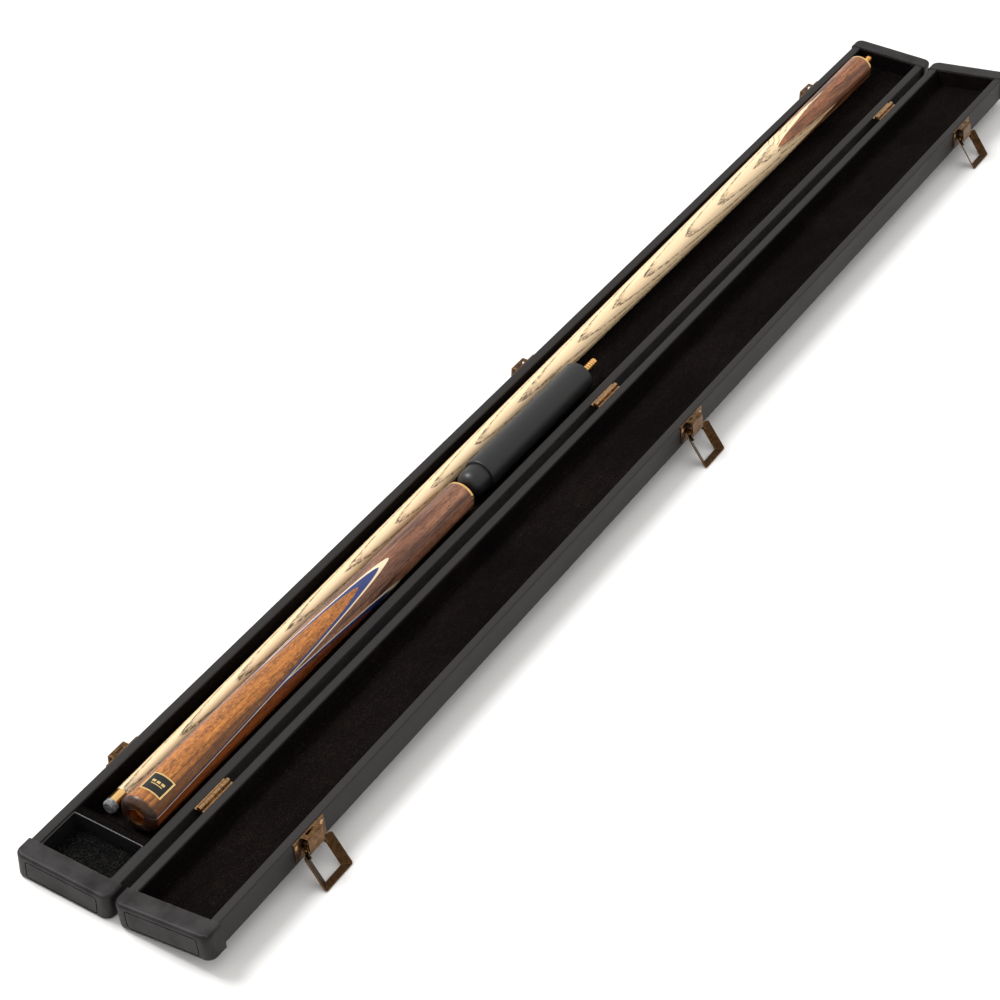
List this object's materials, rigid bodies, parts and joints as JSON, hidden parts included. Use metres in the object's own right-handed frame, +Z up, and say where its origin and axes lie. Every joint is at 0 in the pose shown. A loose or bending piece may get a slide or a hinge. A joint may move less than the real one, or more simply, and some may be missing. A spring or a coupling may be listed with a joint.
{
  "type": "cue case",
  "caption": "Long hard-shell cue case lying open on its hinges, with bail latches, velvet lining, an accessory box and a jointed cue inside.",
  "frame": {"origin": "middle of the open case's outline, on the plane the base stands on; the hinge line is 8.336 mm to the -X side of it", "axes": "+Y along the case away from the accessory box end, +X across it from the base towards the open lid, +Z up; the case lies open with its lid tipped up by 8.7 degrees on its hanging bails"},
  "size_m": [0.1716, 1.18, 0.0337],
  "materials": {
    "leatherette": "fine ribbed, satin",
    "cap_plastic": "satin moulded",
    "velvet": "short brushed pile",
    "box_plastic": "moulded",
    "antique_brass": "antiqued, worn edges",
    "bright_brass": "polished",
    "steel": "drawn wire",
    "ash": "lacquered, dark open grain",
    "rosewood": "polished",
    "amber_wood": "polished, figured",
    "red_wood": "polished",
    "blue_veneer": "dyed, polished",
    "pale_veneer": "polished",
    "charcoal": "satin",
    "tip_leather": "pressed",
    "badge_black": "gloss"
  },
  "bodies": {
    "base": {"base_panel": "leatherette", "base_outer_wall": "leatherette", "base_hinge_wall": "leatherette", "base_end_rails": "leatherette", "base_cap_near": "cap_plastic", "base_cap_far": "cap_plastic", "base_lining": "velvet", "divider_block": "velvet", "accessory_box": "box_plastic", "accessory_pad": "velvet", "keepers": "antique_brass", "keeper_screws": "antique_brass", "hinge_base_leaves": "bright_brass", "hinge_pins": "bright_brass", "hinge_base_brads": "steel"},
    "lid": {"lid_panel": "leatherette", "lid_outer_wall": "leatherette", "lid_hinge_wall": "leatherette", "lid_end_rails": "leatherette", "lid_cap_near": "cap_plastic", "lid_cap_far": "cap_plastic", "lid_lining": "velvet", "latch_plates": "antique_brass", "latch_screws": "antique_brass", "latch_pins": "bright_brass", "latch_springs": "steel", "hinge_lid_leaves": "bright_brass", "hinge_lid_brads": "steel"},
    "near_bail": {"bail_near": "antique_brass"},
    "middle_bail": {"bail_mid": "antique_brass"},
    "far_bail": {"bail_far": "antique_brass"},
    "shaft": {"shaft_ash": "ash", "shaft_splice": "rosewood", "shaft_tip": "tip_leather", "shaft_ferrule": "bright_brass", "shaft_collar": "bright_brass", "shaft_joint_pin": "bright_brass"},
    "butt": {"butt_core": "rosewood", "butt_veneer_pale": "pale_veneer", "butt_veneer_blue": "blue_veneer", "butt_front_panel": "amber_wood", "butt_side_panels": "red_wood", "butt_joint_ring": "bright_brass", "butt_socket": "bright_brass", "badge_plate": "badge_black", "badge_border": "bright_brass"},
    "extension": {"extension_body": "charcoal", "extension_plug": "charcoal", "extension_collar": "bright_brass", "extension_joint_pin": "bright_brass"}
  },
  "joints": [
    {"name": "lid_hinge", "type": "hinge", "parent": "base", "child": "lid", "pos_m": [-0.00834, 0, 0.02], "axis": [0, 1, 0], "range_deg": [-171.3, 8.7]},
    {"name": "near_bail_pivot", "type": "hinge", "parent": "lid", "child": "near_bail", "pos_m": [0.06726, -0.4865, 0.02115], "axis": [0, 1, 0], "range_deg": [-151.03, 28.97]},
    {"name": "middle_bail_pivot", "type": "hinge", "parent": "lid", "child": "middle_bail", "pos_m": [0.06726, 0, 0.02115], "axis": [0, 1, 0], "range_deg": [-151.03, 28.97]},
    {"name": "far_bail_pivot", "type": "hinge", "parent": "lid", "child": "far_bail", "pos_m": [0.06726, 0.4865, 0.02115], "axis": [0, 1, 0], "range_deg": [-151.03, 28.97]},
    {"name": "shaft_lift", "type": "slide", "parent": "base", "child": "shaft", "axis": [0, 0, 1], "range_m": [0, 0.06]},
    {"name": "butt_lift", "type": "slide", "parent": "base", "child": "butt", "axis": [0, 0, 1], "range_m": [0, 0.06]},
    {"name": "extension_lift", "type": "slide", "parent": "base", "child": "extension", "axis": [0, 0, 1], "range_m": [0, 0.06]}
  ]
}
